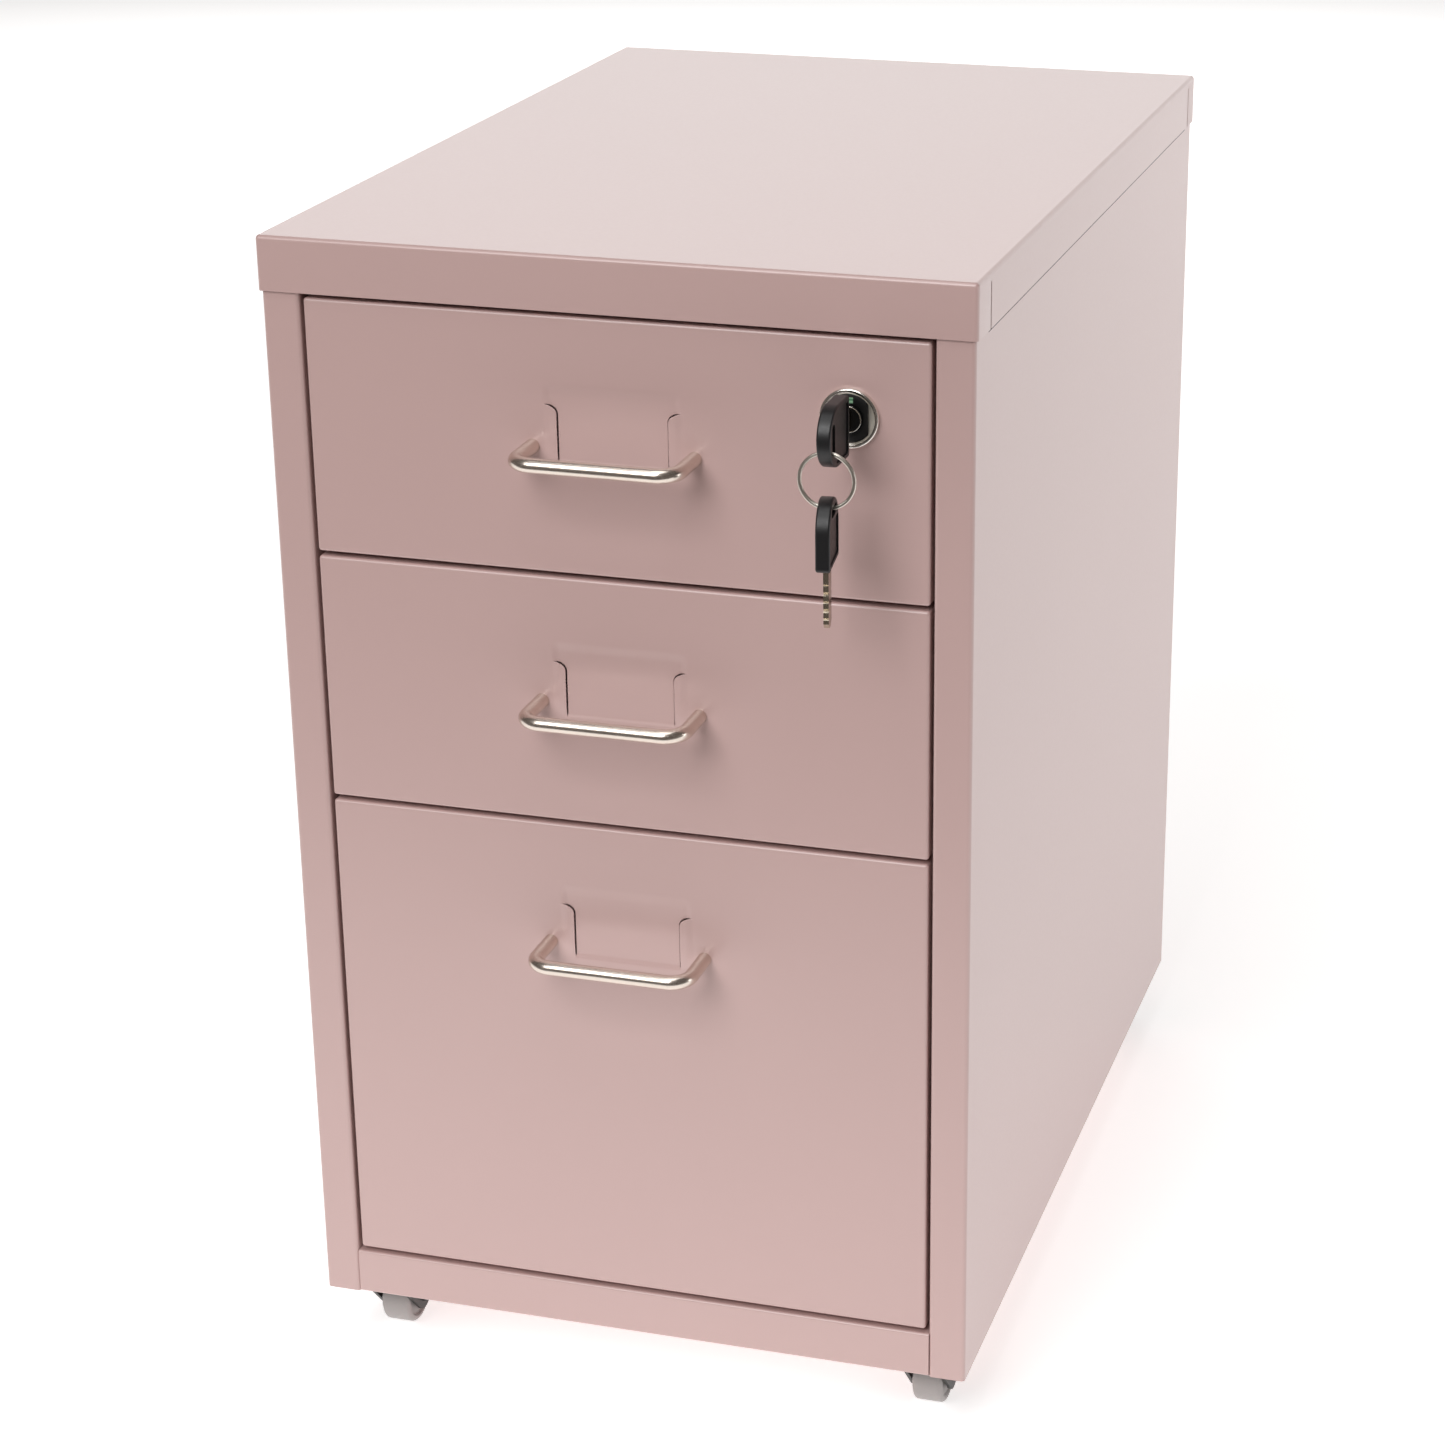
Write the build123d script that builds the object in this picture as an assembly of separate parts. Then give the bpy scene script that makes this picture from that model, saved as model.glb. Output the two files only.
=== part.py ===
from build123d import *
import os

# Three-drawer steel pedestal cabinet on casters, in millimetres.
# X is the width, Y the depth with the drawers facing -Y, and Z is up from the floor.
# The origin is on the floor, in the middle of the whole object's footprint, keys included.

# ---------------------------------------------------------------- driving dimensions
cabinet_width = 280.0        # over the top panel
cabinet_depth = 415.0        # over the top panel
cabinet_height = 482.7       # floor to the top face

sheet = 0.8                  # steel sheet of the shell and the drawers
fold = 1.6                   # outer radius of a fold in that sheet
rail_fold = 1.2              # and of a fold in the two front rails
cut_past = 1.0               # cutting shapes run this far past the face they cut

top_panel_height = 21.3      # the folded rim of the top panel
top_panel_slip = 0.2         # gap between that rim and the shell inside it
rim_tab = 18.5               # how far the front rim wraps round onto the side
rim_seam = 0.3               # seam beside that tab
rear_tab = 14.0              # how far the rear rim wraps round onto the side
rear_seam = 1.6              # open seam beside the rear tab
rim_seam_stop = 3.5          # the seams stop this far below the top face
lid_relief = 0.3             # side panels stop this far below the lid, clear of its fold

front_flange = 15.0          # side panel's flange beside the drawers
flange_return = 12.0         # the flange's edge turned inwards
rear_flange = 14.0
base_rail_height = 19.5      # rail below the lowest drawer
base_ledge = 12.0            # depth of the rail's top ledge
base_lip = 5.0               # the ledge's rear edge, turned down
floor_gap = 1.0              # floor behind the side panels' turned-in edges
floor_lap = 2.0              # the rail's foot runs this far onto the floor
floor_upstand = 12.0         # bottom panel's side edges, turned up
top_rail_depth = 19.5        # rail behind the top panel's rim
top_rail_lip = 14.0          # the rail's rear edge, turned up, that the cam catches behind
top_rail_drop = 0.5          # the rail's underside above the top panel's lower edge

drawer_gap = 1.9             # between drawer fronts, and round their ends
side_gap = 1.5               # beside each drawer front
small_front_height = 100.3
drawer_recess = 0.4          # drawer face behind the side panel's flange
drawer_return = 16.0         # depth of the folded edge of a drawer front
front_fold = 1.3             # outer radius of that fold

tray_width = 224.0
tray_rear_gap = 20.0         # tray's rear wall to the back panel, drawer closed
tray_floor_lift = 2.5        # tray underside above the drawer front's lower edge
tray_rim_drop = 15.5         # tray rim below the drawer front's upper edge

runner_sheet = 1.0
runner_inner_height = 8.0    # inside the channel that the tray rim runs in
runner_start = 3.0           # channel begins this far behind the drawer's inner front wall
runner_end_gap = 8.0         # and ends this far before the back panel
runner_tray_gap = 1.5        # between the channel's legs and the tray's side
runner_fold = 1.5
pad_length = 11.5            # nylon pad at the front of each channel
pad_start = 1.0              # pad behind the channel's front end
pad_side_gap = 1.0           # pad inside the channel's mouth and the rim's edge
pad_round = 0.8
glide_length = 24.0          # nylon glide clipped to the tray's rim
glide_rear_inset = 35.2      # glide in front of the tray's rear end
glide_inset = 2.5            # glide's inner side from the channel's legs
glide_wrap = 0.7             # glide beyond the rim's edge
glide_gap = 0.2              # glide or pad to the part it slides on
stop_gap = 0.3               # glide to pad at full travel

handle_rod = 5.8
handle_centres = 64.0        # between its two posts
handle_projection = 24.0     # drawer face to the middle of the bar
handle_bend = 8.0
handle_drop = 50.8           # bar below the drawer front's upper edge
handle_thread = 4.0          # screw into the end of each post
handle_thread_depth = 10.0
handle_end_gap = 1.0         # end of the thread to the screw's end
handle_screw_head = 3.8
handle_screw_head_height = 2.4
handle_access_radius = 5.0   # hole in the drawer's inner wall for the screwdriver
screw_gap = 0.05             # screw in its hole

label_half_width = 26.5      # pressed label field above the handle
label_slit_x = 21.8          # slits that hold the label card at its sides
label_top_drop = 27.5
label_hook_drop = 34.4
label_knee_drop = 38.0
label_foot_drop = 56.5
label_press = 0.5            # how far the field is pressed in
slit_width = 0.5
slit_bend = 3.0
slit_foot_gap = 1.0          # slit ends this far above the field's foot

lock_x = 92.0
lock_drop = 30.0             # lock below the upper drawer front's edge
lock_ring_radius = 11.25
lock_ring_height = 2.3
lock_ring_bevel = 0.5        # across the ring's outer edge
lock_ring_bevel_height = 1.0
lock_dish_radius = 9.9       # ring's dished wall at its rim
lock_dish_slope = 1.2        # and how far it leans in
lock_dish_floor = 0.7
lock_body_radius = 9.2
lock_body_flats = 14.0       # across the two flats
lock_body_face = 1.1         # body's face in front of the drawer face
lock_body_length = 20.6      # body's rear end behind the drawer face
lock_hole_gap = 0.15
lock_access_gap = 0.8        # hole in the drawer's inner wall round the body
lock_nut_flats = 24.0
lock_nut_height = 3.0
plug_radius = 5.0
plug_gap = 0.05
plug_face = 2.9
cam_length = 38.0
cam_width = 14.0
cam_thickness = 1.6
cam_gap = 0.4                # cam behind the body's end
cam_square = 6.0
keyway_room = 1.0            # keyway beyond the blade's end
cam_screw_radius = 1.75
cam_screw_head = 3.8
cam_screw_head_height = 2.0
cam_screw_end_gap = 1.0      # end of the thread to the screw's end

key_head_length = 25.0
key_head_width = 23.0
key_head_thickness = 5.4
key_head_start = 10.0        # head's inner end in front of the drawer face
key_slot_length = 12.0
key_slot_width = 3.6
key_slot_inset = 4.5         # slot's middle from the head's round end
key_panel_rim = 1.8
key_panel_depth = 0.6
key_panel_corner = 1.2
key_corner = 1.5             # head's two square corners
key_edge = 0.8               # round along the head's outline
blade_length = 24.0          # out of the head
blade_tang = 12.0            # inside the head
blade_width = 7.0
blade_thickness = 2.0
blade_gap = 0.15             # blade in the plug's keyway
blade_point = 2.0            # slope across the blade's two front corners
notch_start = 4.0            # first notch from the blade's end
notch_depth = 0.8
notch_shallow = 0.48         # depth of every second notch
notch_pitch = 3.2
notch_count = 5
ring_radius = 11.0           # key ring, over its wire
ring_wire = 1.5
ring_gap = 0.5               # wire to the slot's edge it hangs on
spare_key_turn = 8.0         # degrees that the hanging key has turned about its blade

caster_inset_x = 22.0        # kingpin from the top panel's side
caster_inset_y = 24.0        # kingpin from the top panel's front and rear
caster_trail = 9.5           # axle behind the kingpin
wheel_radius = 12.5
wheel_width = 13.0
wheel_hub_radius = 4.4
wheel_round = 1.2
axle_radius = 2.0
axle_gap = 0.05
axle_head_radius = 3.3
axle_head_height = 1.3
fork_sheet = 1.5
fork_side_gap = 0.2          # wheel hub to the fork's leg
fork_hub_step = 0.4          # hub stands this far out of the wheel's side
fork_foot_radius = 6.7
fork_crown_side = 4.0        # height of the fork's side at its crown
fork_round = 1.8             # fold between the crown and the legs
fork_front = 9.5             # crown in front of the kingpin
fork_rear = 13.0             # crown behind the kingpin
plate_size = 32.0
plate_sheet = 1.4
plate_corner = 3.0
race_radius = 9.0
race_height = 1.4            # raised race under the plate
race_gap = 0.1               # race to the fork's crown
crown_gap = 0.6              # wheel to the underside of the crown
kingpin_radius = 3.0
kingpin_gap = 0.05
kingpin_head_radius = 4.2
kingpin_head_height = 1.2
caster_screw_spacing = 24.0
caster_screw_radius = 1.75
caster_screw_head = 3.4
caster_screw_head_height = 1.5
panel_screw_radius = 1.75
panel_screw_head = 3.4
panel_screw_head_height = 0.9
panel_screw_length = 6.0
panel_screw_low = 40.0       # lowest screw above the floor panel
panel_screw_high = 50.0      # highest screw below the top face

# ---------------------------------------------------------------- places worked out from them
half_width = cabinet_width / 2
ring_reach = key_head_start + key_head_length - key_slot_inset
front_reach = ring_reach + key_head_width / 2 - sheet - top_panel_slip - drawer_recess
front = (front_reach - cabinet_depth) / 2
rear = front + cabinet_depth
top = cabinet_height

axle_z = wheel_radius
crown_low = 2 * wheel_radius + crown_gap
crown_high = crown_low + fork_sheet
floor_z = crown_high + race_gap + race_height + plate_sheet

shell_half = half_width - sheet - top_panel_slip
shell_front = front + sheet + top_panel_slip
shell_rear = rear - sheet - top_panel_slip
shell_inner = shell_half - sheet
shell_top = top - sheet
opening_half = shell_half - front_flange
back_inner = shell_rear - 2 * sheet

drawer_face = shell_front + drawer_recess
front_half = opening_half - side_gap
inner_wall = drawer_face + drawer_return
upper_edge = top - top_panel_height - drawer_gap
lower_edge = floor_z + base_rail_height + drawer_gap
second_edge = upper_edge - small_front_height - drawer_gap
third_edge = second_edge - small_front_height - drawer_gap
drawer_spans = {
    1: (upper_edge - small_front_height, upper_edge),
    2: (second_edge - small_front_height, second_edge),
    3: (lower_edge, third_edge),
}

tray_half = tray_width / 2
tray_rear = back_inner - tray_rear_gap
runner_inner_edge = tray_half + runner_tray_gap
runner_front = inner_wall + runner_start
runner_rear = back_inner - runner_end_gap
pad_front = runner_front + pad_start
pad_rear = pad_front + pad_length
glide_front = tray_rear - glide_rear_inset - glide_length
drawer_travel = glide_front - stop_gap - pad_rear

lock_z = upper_edge - lock_drop
ring_y = drawer_face - ring_reach
slot_low_edge = lock_z - key_slot_length / 2
ring_top_wire = slot_low_edge + ring_gap + ring_wire / 2
ring_z = ring_top_wire + ring_wire / 2 - ring_radius
ring_low_wire = ring_z - ring_radius + ring_wire / 2
spare_slot_z = ring_low_wire + ring_wire / 2 + ring_gap - key_slot_width / 2
key_travel = blade_length - (key_head_start - plug_face)

fork_inner = wheel_width / 2 + fork_hub_step + fork_side_gap
fork_outer = fork_inner + fork_sheet
caster_places = {
    "front_left": (-half_width + caster_inset_x, front + caster_inset_y),
    "front_right": (half_width - caster_inset_x, front + caster_inset_y),
    "rear_left": (-half_width + caster_inset_x, rear - caster_inset_y),
    "rear_right": (half_width - caster_inset_x, rear - caster_inset_y),
}


# ---------------------------------------------------------------- forms
def block(x, y, z):
    """Box between the low and high values given for each axis."""
    low = [min(pair) for pair in (x, y, z)]
    high = [max(pair) for pair in (x, y, z)]
    middle = [(a + b) / 2 for a, b in zip(low, high)]
    return Pos(*middle) * Box(*[b - a for a, b in zip(low, high)])


def round_bar(x, y, z, radius):
    """Cylinder whose axis runs along the one axis given as a pair."""
    spans = [v if isinstance(v, tuple) else (v, v) for v in (x, y, z)]
    middle = [(a + b) / 2 for a, b in spans]
    lengths = [abs(b - a) for a, b in spans]
    axis = lengths.index(max(lengths))
    turn = [Rot(0, 90, 0), Rot(90, 0, 0), Rot(0, 0, 0)][axis]
    return Pos(*middle) * turn * Cylinder(radius, lengths[axis])


def along_x(face, x0, x1):
    """Face drawn in (y, z), run from x0 to x1."""
    return extrude(Plane.YZ.offset(x0) * face, amount=x1 - x0)


def along_y(face, y0, y1):
    """Face drawn in (x, z), run from y0 to y1."""
    return extrude(Plane.XZ.offset(-y1) * face, amount=y1 - y0)


def along_z(face, z0, z1):
    """Face drawn in (x, y), run from z0 to z1."""
    return extrude(Plane.XY.offset(z0) * face, amount=z1 - z0)


def folded(points, thickness=sheet, radius=fold):
    """Section of a folded sheet: the outer line through the points, thickened to its left."""
    line = FilletPolyline(*points, radius=radius)
    return make_face(offset(line, amount=thickness, side=Side.LEFT))


def pan(spans, axis, open_high, wall, radius):
    """Box with rounded folds and walls of one thickness, open at one end of the given axis."""
    outer = round_but_one(block(*spans), axis, open_high, radius)
    inner_spans = [(a + wall, b - wall) for a, b in spans]
    low, high = spans[axis]
    inner_spans[axis] = (low + wall, high + wall) if open_high else (low - wall, high - wall)
    return outer - round_but_one(block(*inner_spans), axis, open_high, radius - wall)


def round_but_one(box, axis, open_high, radius):
    """Box with all its edges rounded but those round one end."""
    ends = box.faces().sort_by([Axis.X, Axis.Y, Axis.Z][axis])
    open_face = ends[-1] if open_high else ends[0]
    return fillet(box.edges() - open_face.edges(), radius)


def double_d(radius, flats):
    """Round section with two upright flats."""
    return Circle(radius) & Rectangle(flats, 4 * radius)


def both_sides(shape):
    """The shape and its mirror image across the middle of the cabinet."""
    return [shape, mirror(shape, about=Plane.YZ)]


def save(name, *solids):
    """One STEP file for one node, with all its separate solids."""
    shape = solids[0] if len(solids) == 1 else Compound(children=list(solids))
    export_step(shape, f"parts/{name}.step")


# ---------------------------------------------------------------- shell
def top_panel():
    """Folded lid: its rim slips over the shell, and the corner tabs wrap onto the sides."""
    low = top - top_panel_height
    lid = pan([(-half_width, half_width), (front, rear), (low, top)], 2, False, sheet, fold)
    seam_top = top - rim_seam_stop
    for side in (-1, 1):
        wall = (side * (half_width - 2 * sheet), side * (half_width + cut_past))
        seam_y = front + rim_tab
        lid -= block(wall, (seam_y, seam_y + rim_seam), (low - cut_past, seam_top))
        gap_y = rear - rear_tab
        lid -= block(wall, (gap_y - rear_seam, gap_y), (low - cut_past, seam_top))
    return lid


def side_panel():
    """Right-hand side: flange and return beside the drawers, and a flange for the back."""
    points = [
        (opening_half, shell_front + flange_return),
        (opening_half, shell_front),
        (shell_half, shell_front),
        (shell_half, shell_rear),
        (shell_half - rear_flange, shell_rear),
    ]
    panel = along_z(folded(points), floor_z, shell_top - lid_relief)
    for screw in panel_screws():
        panel -= screw
    return panel


def panel_screws():
    """Screws through the right-hand rear flange and the back panel."""
    x = shell_half - rear_flange / 2
    heights = [floor_z + panel_screw_low, (floor_z + top) / 2, top - panel_screw_high]
    screws = []
    for z in heights:
        head = round_bar(x, (shell_rear, shell_rear + panel_screw_head_height), z, panel_screw_head)
        shank = round_bar(x, (shell_rear - panel_screw_length, shell_rear), z, panel_screw_radius)
        screws.append(head + shank)
    return screws


def back_panel():
    """Flat sheet screwed to the inside of the rear flanges."""
    half = shell_inner - fold
    panel = block((-half, half), (back_inner, back_inner + sheet), (floor_z, shell_top))
    for screw in panel_screws():
        for one in both_sides(screw):
            panel -= one
    return panel


def bottom_panel():
    """Floor with side upstands, folded at the front into the rail below the drawers."""
    rail_back = shell_front + base_ledge
    rail_top = floor_z + base_rail_height
    floor_front = shell_front + flange_return + floor_gap
    rail_points = [
        (rail_back, rail_top - base_lip),
        (rail_back, rail_top),
        (shell_front, rail_top),
        (shell_front, floor_z),
        (floor_front + floor_lap, floor_z),
    ]
    rail = along_x(folded(rail_points, radius=rail_fold), -opening_half, opening_half)
    tray_points = [
        (-shell_inner, floor_z + floor_upstand),
        (-shell_inner, floor_z),
        (shell_inner, floor_z),
        (shell_inner, floor_z + floor_upstand),
    ]
    floor = along_y(folded(tray_points), floor_front, back_inner)
    panel = rail + floor
    for x, y in caster_places.values():
        for screw in caster_screws(x, y):
            panel -= screw
    return panel


def top_front_rail():
    """Channel across the opening behind the lid's rim; the lock's cam catches its rear lip."""
    low = top - top_panel_height + top_rail_drop
    back = shell_front + top_rail_depth
    points = [
        (shell_front, shell_top - lid_relief),
        (shell_front, low),
        (back, low),
        (back, low + top_rail_lip),
    ]
    return along_x(folded(points, radius=rail_fold), -opening_half, opening_half)


def runner(rim_z):
    """Right-hand channel, open towards the drawer, that the tray's rim runs in."""
    low = rim_z + sheet / 2 - runner_inner_height / 2 - runner_sheet
    high = low + runner_inner_height + 2 * runner_sheet
    points = [
        (runner_inner_edge, low),
        (shell_inner, low),
        (shell_inner, high),
        (runner_inner_edge, high),
    ]
    return along_y(folded(points, runner_sheet, runner_fold), runner_front, runner_rear)


def front_pad(rim_z):
    """Nylon pad on the channel's lower leg: it carries the rim and stops the glide."""
    low = rim_z + sheet / 2 - runner_inner_height / 2
    span = (runner_inner_edge + pad_side_gap, front_half - pad_side_gap)
    pad = block(span, (pad_front, pad_rear), (low, rim_z - glide_gap))
    return fillet(pad.edges().group_by(Axis.Z)[-1], pad_round)


# ---------------------------------------------------------------- drawers
def drawer_front(number):
    """Folded front with a pressed label field, two label slits and the handle's screw holes."""
    low, high = drawer_spans[number]
    spans = [(-front_half, front_half), (drawer_face, inner_wall), (low, high)]
    shell = pan(spans, 1, True, sheet, front_fold)
    field = Polyline(
        (-label_half_width, high - label_top_drop),
        (label_half_width, high - label_top_drop),
        (label_half_width, high - label_hook_drop),
        (label_slit_x, high - label_knee_drop),
        (label_slit_x, high - label_foot_drop),
        (-label_slit_x, high - label_foot_drop),
        (-label_slit_x, high - label_knee_drop),
        (-label_half_width, high - label_hook_drop),
        close=True,
    )
    field = make_face(field)
    backing = offset(field, amount=sheet)
    shell += along_y(backing, drawer_face + sheet / 2, drawer_face + label_press + sheet)
    shell -= along_y(field, drawer_face - cut_past, drawer_face + label_press)
    slit_line = FilletPolyline(
        (label_slit_x, high - label_foot_drop + slit_foot_gap),
        (label_slit_x, high - label_knee_drop),
        (label_half_width, high - label_hook_drop),
        radius=slit_bend,
    )
    slit_face = make_face(offset(slit_line, amount=slit_width / 2, side=Side.BOTH))
    through = (drawer_face - cut_past, drawer_face + label_press + sheet + cut_past)
    for slit in both_sides(along_y(slit_face, *through)):
        shell -= slit
    for x in (-handle_centres / 2, handle_centres / 2):
        shell -= round_bar(x, through, high - handle_drop, handle_thread / 2 + screw_gap)
    if number == 1:
        hole = double_d(lock_body_radius + lock_hole_gap, lock_body_flats + 2 * lock_hole_gap)
        shell -= along_y(Pos(lock_x, lock_z) * hole, *through)
    return shell


def drawer_tray(number):
    """Floor and sides of the tray in one folded sheet, with an outward rim on each side."""
    low, high = drawer_spans[number]
    floor_low = low + tray_floor_lift
    rim_z = high - tray_rim_drop
    points = [
        (-front_half, rim_z),
        (-tray_half, rim_z),
        (-tray_half, floor_low),
        (tray_half, floor_low),
        (tray_half, rim_z),
        (front_half, rim_z),
    ]
    return along_y(folded(points), inner_wall, tray_rear)


def drawer_rear_wall(number):
    """Flat sheet that closes the tray behind, inside its folds."""
    low, high = drawer_spans[number]
    half = tray_half - sheet
    z_span = (low + tray_floor_lift + sheet, high - tray_rim_drop)
    wall = block((-half, half), (tray_rear - sheet, tray_rear), z_span)
    lower_corners = wall.edges().filter_by(Axis.Y).group_by(Axis.Z)[0]
    return fillet(lower_corners, fold - sheet)


def drawer_inner_wall(number):
    """Flat sheet inside the drawer front's folded edge, with holes for the tools and the lock."""
    low, high = drawer_spans[number]
    half = front_half - sheet
    wall = block((-half, half), (inner_wall - sheet, inner_wall), (low + sheet, high - sheet))
    wall = fillet(wall.edges().filter_by(Axis.Y), front_fold - sheet)
    through = (inner_wall - sheet - cut_past, inner_wall + cut_past)
    for x in (-handle_centres / 2, handle_centres / 2):
        wall -= round_bar(x, through, high - handle_drop, handle_access_radius)
    if number == 1:
        wall -= round_bar(lock_x, through, lock_z, lock_body_radius + lock_access_gap)
    return wall


def drawer_glides(rim_z):
    """Nylon glides that clip over the rim's outer edge."""
    low = rim_z + sheet / 2 - runner_inner_height / 2 + glide_gap
    high = low + runner_inner_height - 2 * glide_gap
    x_span = (runner_inner_edge + glide_inset, front_half + glide_wrap)
    rear_end = glide_front + glide_length
    glide = block(x_span, (glide_front, rear_end), (low, high))
    rim = ((0, front_half), (glide_front - cut_past, rear_end + cut_past), (rim_z, rim_z + sheet))
    return both_sides(glide - block(*rim))


def drawer_handle(high):
    """Bow of round rod, with a threaded hole in the end of each post."""
    z = high - handle_drop
    x = handle_centres / 2
    out = drawer_face - handle_projection
    path = FilletPolyline(
        (-x, drawer_face, z), (-x, out, z), (x, out, z), (x, drawer_face, z), radius=handle_bend
    )
    section = Plane(origin=path @ 0, z_dir=path % 0) * Circle(handle_rod / 2)
    rod = sweep(section, path=path)
    for side in (-x, x):
        hole = (drawer_face - handle_thread_depth, drawer_face + cut_past)
        rod -= round_bar(side, hole, z, handle_thread / 2 + screw_gap)
    return rod


def handle_screws(high):
    """Machine screws from inside the drawer front into the handle's posts."""
    z = high - handle_drop
    seat = drawer_face + sheet
    screws = []
    for x in (-handle_centres / 2, handle_centres / 2):
        tip = drawer_face - handle_thread_depth + handle_end_gap
        shank = round_bar(x, (tip, seat), z, handle_thread / 2)
        head = round_bar(x, (seat, seat + handle_screw_head_height), z, handle_screw_head)
        screws.append(head + shank)
    return screws


# ---------------------------------------------------------------- lock and keys
def at_lock(face, proud_front, proud_rear):
    """Face drawn about the lock's axis, between two distances in front of the drawer face."""
    return along_y(Pos(lock_x, lock_z) * face, drawer_face - proud_front, drawer_face - proud_rear)


def lock_trim_ring():
    """Dished ring on the drawer face, open in the middle to the lock body's section."""
    section = Polyline(
        (0, 0),
        (lock_ring_radius, 0),
        (lock_ring_radius, lock_ring_height - lock_ring_bevel_height),
        (lock_ring_radius - lock_ring_bevel, lock_ring_height),
        (lock_dish_radius, lock_ring_height),
        (lock_dish_radius - lock_dish_slope, lock_dish_floor),
        (0, lock_dish_floor),
        close=True,
    )
    disc = revolve(Plane.XZ * make_face(section), Axis.Z)
    disc = Pos(lock_x, drawer_face, lock_z) * Rot(90, 0, 0) * disc
    hole = double_d(lock_body_radius, lock_body_flats)
    return disc - at_lock(hole, lock_ring_height + cut_past, -cut_past)


def lock_housing():
    """Lock body of double-D section, bored for the plug."""
    body = at_lock(double_d(lock_body_radius, lock_body_flats), lock_body_face, -lock_body_length)
    bore = Circle(plug_radius + plug_gap)
    return body - at_lock(bore, lock_body_face + cut_past, -lock_body_length - cut_past)


def lock_nut():
    """Thin nut that clamps the lock body from behind the drawer front."""
    nut = RegularPolygon(lock_nut_flats / 2, 6, major_radius=False) - Circle(lock_body_radius)
    return at_lock(nut, -sheet, -sheet - lock_nut_height)


def lock_plug():
    """Turning plug: keyway in front, square end for the cam behind."""
    shoulder = lock_body_length + cam_gap / 2
    end = lock_body_length + cam_gap + cam_thickness
    plug = at_lock(Circle(plug_radius), plug_face, -shoulder)
    plug += at_lock(Rectangle(cam_square, cam_square), 0, -end)
    keyway = Rectangle(blade_thickness + 2 * blade_gap, blade_width + 2 * blade_gap)
    depth = blade_length - key_head_start + keyway_room
    plug -= at_lock(keyway, plug_face + cut_past, -depth)
    thread = Circle(cam_screw_radius + screw_gap)
    return plug - at_lock(thread, -depth - cam_screw_end_gap, -end - cut_past)


def lock_cam():
    """Flat cam, lying to the left when unlocked."""
    near = lock_body_length + cam_gap
    arm = Pos(-(cam_length - cam_width / 2) / 2, 0) * Rectangle(cam_length - cam_width / 2, cam_width)
    outline = Circle(cam_width / 2) + arm - Rectangle(cam_square, cam_square)
    outline += Pos(-cam_length + cam_width / 2, 0) * Circle(cam_width / 2)
    return at_lock(outline, -near, -near - cam_thickness)


def lock_cam_screw():
    """Screw that holds the cam on the plug's square."""
    seat = lock_body_length + cam_gap + cam_thickness
    head = at_lock(Circle(cam_screw_head), -seat, -seat - cam_screw_head_height)
    tip = blade_length - key_head_start + keyway_room + 2 * cam_screw_end_gap
    return head + at_lock(Circle(cam_screw_radius), -tip, -seat)


def key_head():
    """Moulded head about the key's axis: the blade points along +X, the round end is at -X."""
    radius = key_head_width / 2
    outline = Pos(radius / 2, 0) * Rectangle(key_head_length - radius, key_head_width)
    outline += Pos(-key_head_length / 2 + radius, 0) * Circle(radius)
    outline &= Rectangle(key_head_length, key_head_width)
    head = extrude(outline, amount=key_head_thickness / 2, both=True)
    head = fillet(head.edges().filter_by(Axis.Z), key_corner)
    rims = head.edges().group_by(Axis.Z)
    head = fillet(rims[0] + rims[-1], key_edge)
    slot_x = -key_head_length / 2 + key_slot_inset
    slot = Pos(slot_x, 0) * SlotOverall(key_slot_length, key_slot_width, rotation=90)
    head -= extrude(slot, amount=key_head_thickness, both=True)
    panel_x0 = slot_x + key_slot_width / 2 + key_panel_rim
    panel_x1 = key_head_length / 2 - key_panel_rim
    panel_size = (panel_x1 - panel_x0, key_head_width - 2 * key_panel_rim)
    panel = Pos((panel_x0 + panel_x1) / 2, 0) * RectangleRounded(*panel_size, key_panel_corner)
    for face_z in (-key_head_thickness / 2, key_head_thickness / 2):
        head -= Pos(0, 0, face_z) * extrude(panel, amount=key_panel_depth, both=True)
    tang = (key_head_length / 2 - blade_tang, key_head_length / 2 + cut_past)
    half = (-blade_thickness / 2, blade_thickness / 2)
    return head - block(tang, (-blade_width / 2, blade_width / 2), half)


def key_blade():
    """Flat double-sided blade with its tang moulded into the head."""
    start = key_head_length / 2 - blade_tang
    end = key_head_length / 2 + blade_length
    half = (-blade_thickness / 2, blade_thickness / 2)
    blade = block((start, end), (-blade_width / 2, blade_width / 2), half)
    blade = chamfer(blade.edges().filter_by(Axis.Z).group_by(Axis.X)[-1], blade_point)
    for step in range(notch_count):
        x = end - notch_start - step * notch_pitch
        depth = notch_depth if step % 2 else notch_shallow
        for side in (-1, 1):
            notch = Rot(0, 0, 45) * Box(2**0.5 * depth, 2**0.5 * depth, 2 * blade_thickness)
            blade -= Pos(x, side * blade_width / 2) * notch
    return blade


def in_lock(shape):
    """Key shape turned to point into the lock, its flat side upright."""
    middle = drawer_face - key_head_start - key_head_length / 2
    return Pos(lock_x, middle, lock_z) * Rot(0, 90, 0) * Rot(0, 0, 90) * shape


def on_ring(shape):
    """Key shape hanging from the ring, its blade down and its flat side across the door."""
    middle = spare_slot_z - key_head_length / 2 + key_slot_inset
    place = Pos(lock_x, ring_y, middle) * Rot(0, 0, 90 + spare_key_turn)
    return place * Rot(90, 0, 0) * Rot(0, 0, -90) * shape


def key_ring():
    """Ring of wire through both key heads."""
    ring = Torus(ring_radius - ring_wire / 2, ring_wire / 2)
    return Pos(lock_x, ring_y, ring_z) * Rot(90, 0, 0) * ring


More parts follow.
